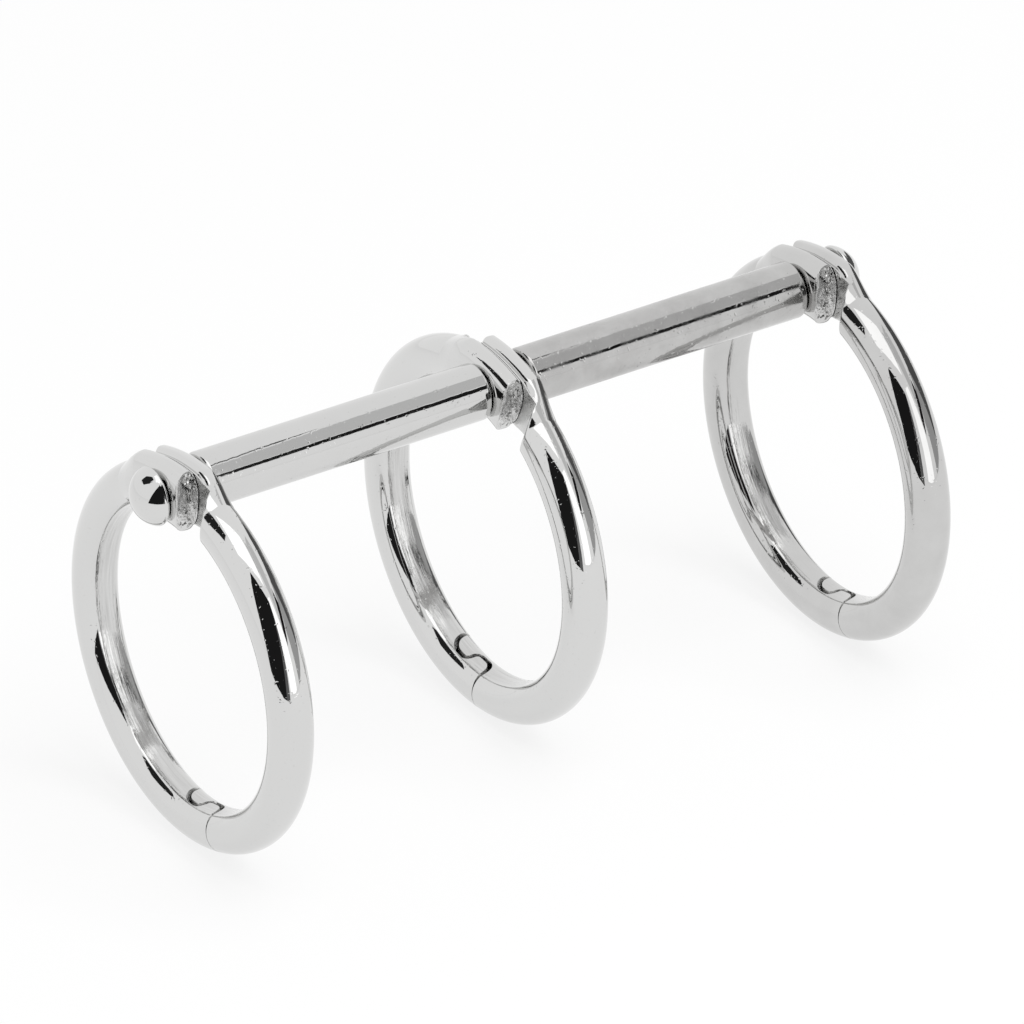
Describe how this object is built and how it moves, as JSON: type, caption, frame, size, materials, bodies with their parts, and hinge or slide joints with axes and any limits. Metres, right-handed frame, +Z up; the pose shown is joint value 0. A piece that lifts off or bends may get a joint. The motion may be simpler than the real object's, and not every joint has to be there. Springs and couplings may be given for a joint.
{
  "type": "binder ring set",
  "caption": "Hinged metal binder rings in a row on one riveted pin, with tube spacers between them; each ring opens in halves and snaps shut with barbed hooks.",
  "frame": {"origin": "on the surface that the rings stand on, midway along the pin and below its axis", "axes": "+X along the pin, from the ring with the near rivet head to the last ring; +Z up; the back halves lie on +Y and the front halves on -Y"},
  "size_m": [0.0928, 0.0494, 0.0453],
  "materials": {
    "bright_plate": "bright nickel plate on steel, polished outside, unpolished on the inner flats and sheared lug ends",
    "tube_plate": "bright nickel plate on steel tube, lightly pitted"
  },
  "bodies": {
    "pivot_pin": {"pivot_pin": "bright_plate"},
    "spacer_tube_1": {"spacer_tube_1": "tube_plate"},
    "spacer_tube_2": {"spacer_tube_2": "tube_plate"},
    "back_half_1": {"back_half_1": "bright_plate"},
    "front_half_1": {"front_half_1": "bright_plate"},
    "back_half_2": {"back_half_2": "bright_plate"},
    "front_half_2": {"front_half_2": "bright_plate"},
    "back_half_3": {"back_half_3": "bright_plate"},
    "front_half_3": {"front_half_3": "bright_plate"}
  },
  "joints": [
    {"name": "ring_1_swing", "type": "hinge", "parent": "pivot_pin", "child": "back_half_1", "pos_m": [-0.041, 0, 0.04131], "axis": [1, 0, 0], "continuous": true},
    {"name": "ring_1_open", "type": "hinge", "parent": "back_half_1", "child": "front_half_1", "pos_m": [-0.041, 0, 0.04131], "axis": [-1, 0, 0], "range_deg": [0, 150]},
    {"name": "ring_2_swing", "type": "hinge", "parent": "pivot_pin", "child": "back_half_2", "pos_m": [0, 0, 0.04131], "axis": [1, 0, 0], "continuous": true},
    {"name": "ring_2_open", "type": "hinge", "parent": "back_half_2", "child": "front_half_2", "pos_m": [0, 0, 0.04131], "axis": [-1, 0, 0], "range_deg": [0, 150]},
    {"name": "ring_3_swing", "type": "hinge", "parent": "pivot_pin", "child": "back_half_3", "pos_m": [0.041, 0, 0.04131], "axis": [1, 0, 0], "continuous": true},
    {"name": "ring_3_open", "type": "hinge", "parent": "back_half_3", "child": "front_half_3", "pos_m": [0.041, 0, 0.04131], "axis": [-1, 0, 0], "range_deg": [0, 150]},
    {"name": "spacer_tube_1_spin", "type": "hinge", "parent": "pivot_pin", "child": "spacer_tube_1", "pos_m": [-0.0205, 0, 0.04131], "axis": [1, 0, 0], "continuous": true},
    {"name": "spacer_tube_2_spin", "type": "hinge", "parent": "pivot_pin", "child": "spacer_tube_2", "pos_m": [0.0205, 0, 0.04131], "axis": [1, 0, 0], "continuous": true}
  ]
}
